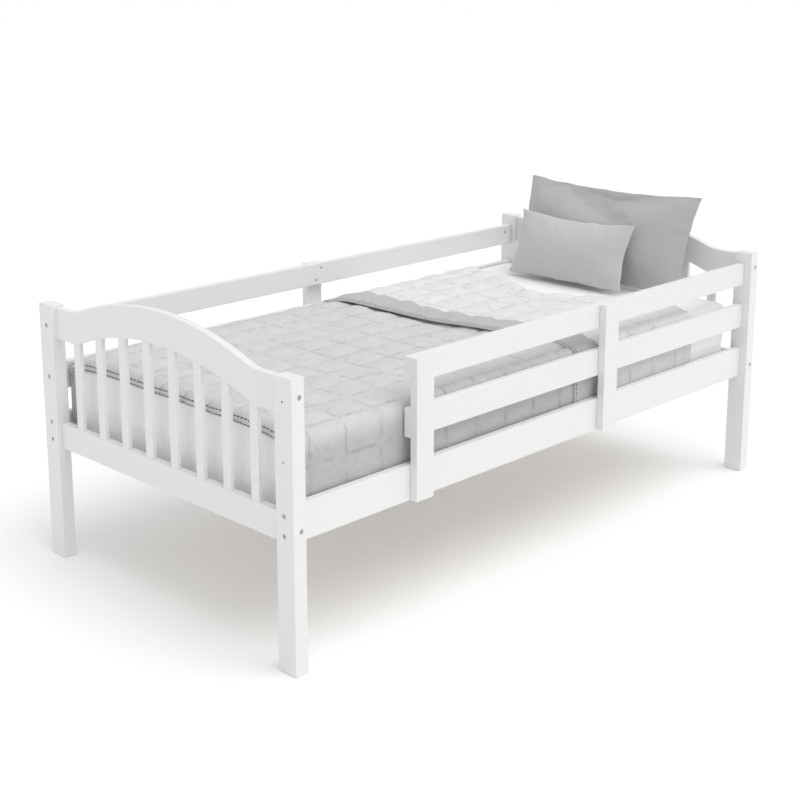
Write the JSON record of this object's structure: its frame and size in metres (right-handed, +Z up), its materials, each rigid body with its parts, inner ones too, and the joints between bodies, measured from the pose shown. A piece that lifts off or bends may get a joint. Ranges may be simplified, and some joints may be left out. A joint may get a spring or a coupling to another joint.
{
  "type": "bed",
  "caption": "White painted wooden twin bed with arched slatted head and foot boards, side guard rails with an entry gap, and a mattress with quilt and two pillows.",
  "frame": {"origin": "on the floor, in the middle of the bed's length and width", "axes": "+X from the foot board to the head board, +Y from the entry side to the far side, +Z up"},
  "size_m": [2.02, 1.066, 0.9091],
  "materials": {
    "white_paint": "white lacquer, satin",
    "bare_pine": "planed, unfinished",
    "bolt_steel": "zinc plated, satin",
    "screw_steel": "zinc plated",
    "mattress_ticking": "woven cotton sheet over foam",
    "quilt_cotton": "quilted cotton, matt",
    "pillow_cotton": "cotton, matt"
  },
  "bodies": {
    "frame": {"barrel_nuts": "bolt_steel", "base_slat_01": "bare_pine", "base_slat_02": "bare_pine", "base_slat_03": "bare_pine", "base_slat_04": "bare_pine", "base_slat_05": "bare_pine", "base_slat_06": "bare_pine", "base_slat_07": "bare_pine", "base_slat_08": "bare_pine", "base_slat_09": "bare_pine", "base_slat_10": "bare_pine", "base_slat_11": "bare_pine", "base_slat_12": "bare_pine", "cleat_back": "bare_pine", "cleat_front": "bare_pine", "cleat_screws": "screw_steel", "connector_bolts": "bolt_steel", "footboard_arch_rail": "white_paint", "footboard_bottom_rail": "white_paint", "footboard_slat_1": "white_paint", "footboard_slat_2": "white_paint", "footboard_slat_3": "white_paint", "footboard_slat_4": "white_paint", "footboard_slat_5": "white_paint", "footboard_slat_6": "white_paint", "footboard_slat_7": "white_paint", "footboard_slat_8": "white_paint", "guard_back_mid_rail": "white_paint", "guard_back_post": "white_paint", "guard_back_top_rail": "white_paint", "guard_front_end_post": "white_paint", "guard_front_mid_rail": "white_paint", "guard_front_middle_post": "white_paint", "guard_front_top_rail": "white_paint", "guard_post_screws": "screw_steel", "guard_rail_screws": "screw_steel", "headboard_arch_rail": "white_paint", "headboard_bottom_rail": "white_paint", "headboard_slat_1": "white_paint", "headboard_slat_2": "white_paint", "headboard_slat_3": "white_paint", "headboard_slat_4": "white_paint", "headboard_slat_5": "white_paint", "headboard_slat_6": "white_paint", "headboard_slat_7": "white_paint", "headboard_slat_8": "white_paint", "leg_foot_back": "white_paint", "leg_foot_front": "white_paint", "leg_head_back": "white_paint", "leg_head_front": "white_paint", "side_rail_back": "white_paint", "side_rail_front": "white_paint", "slat_screws": "screw_steel", "wooden_dowels": "bare_pine"},
    "mattress": {"mattress": "mattress_ticking"},
    "quilt": {"quilt": "quilt_cotton"},
    "pillow_large": {"pillow_large": "pillow_cotton"},
    "pillow_small": {"pillow_small": "pillow_cotton"}
  },
  "joints": [
    {"name": "mattress_lift", "type": "slide", "parent": "frame", "child": "mattress", "axis": [0, 0, 1], "range_m": [0, 0.45]},
    {"name": "quilt_lift", "type": "slide", "parent": "mattress", "child": "quilt", "axis": [0, 0, 1], "range_m": [0, 0.4]},
    {"name": "pillow_large_lift", "type": "slide", "parent": "mattress", "child": "pillow_large", "axis": [0.3256, 0, 0.9455], "range_m": [0, 0.4]},
    {"name": "pillow_small_lift", "type": "slide", "parent": "mattress", "child": "pillow_small", "axis": [0, 0, 1], "range_m": [0, 0.4]}
  ]
}
